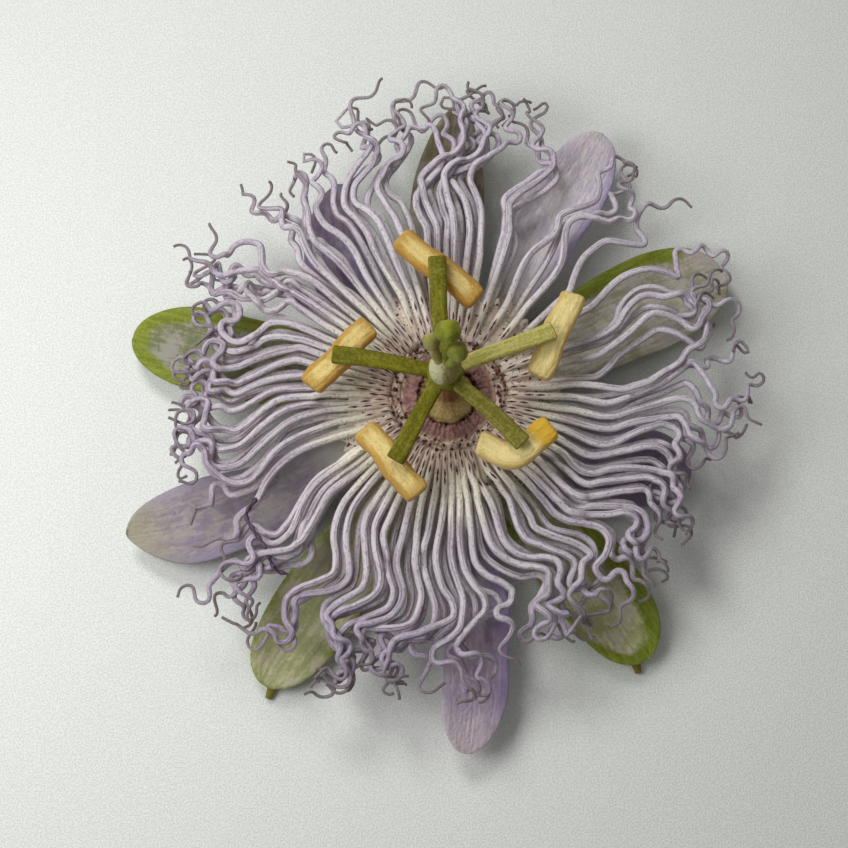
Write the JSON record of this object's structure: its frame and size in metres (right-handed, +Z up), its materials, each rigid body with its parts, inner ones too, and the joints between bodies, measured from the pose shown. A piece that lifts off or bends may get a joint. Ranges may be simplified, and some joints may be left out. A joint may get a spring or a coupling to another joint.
{
  "type": "passion flower",
  "caption": "Open passion flower lying on its back: sepals and petals under a disc of wavy filaments, with raised stamens, ovary and styles.",
  "frame": {"origin": "centre of the flat stalk scar under the cup, the spot that the flower rests on", "axes": "+Z up along the flower's axis from the scar to the stigmas; +X towards the sepal at the right, seen from above with the gap between the two lowest stamens at -Y"},
  "size_m": [0.0711, 0.0771, 0.0255],
  "materials": {
    "cup_green": "satin green plant tissue",
    "sepal_green": "satin, green rims and back, pale grey-green inner face",
    "petal_lavender": "soft matte lavender with purple veins",
    "filament_outer": "soft satin lavender, cream at the base",
    "filament_inner": "soft satin lavender, cream and banded at the base",
    "fringe_purple": "cream with dark purple heads",
    "lid_mauve": "satin mauve membrane",
    "column_olive": "satin olive green",
    "pollen_yellow": "powdery matte yellow",
    "ovary_pale": "satin pale whitish green",
    "stigma_green": "satin green"
  },
  "bodies": {
    "root": {"floral_cup": "cup_green", "sepal_1": "sepal_green", "sepal_2": "sepal_green", "sepal_3": "sepal_green", "sepal_4": "sepal_green", "sepal_5": "sepal_green", "petal_1": "petal_lavender", "petal_2": "petal_lavender", "petal_3": "petal_lavender", "petal_4": "petal_lavender", "petal_5": "petal_lavender", "corona_outer": "filament_outer", "corona_inner": "filament_inner", "corona_fringe": "fringe_purple", "operculum": "lid_mauve", "stamen_column": "column_olive", "anther_1": "pollen_yellow", "anther_2": "pollen_yellow", "anther_3": "pollen_yellow", "anther_4": "pollen_yellow", "anther_5": "pollen_yellow", "ovary": "ovary_pale", "style_1": "stigma_green", "style_2": "stigma_green", "style_3": "stigma_green"}
  },
  "joints": []
}
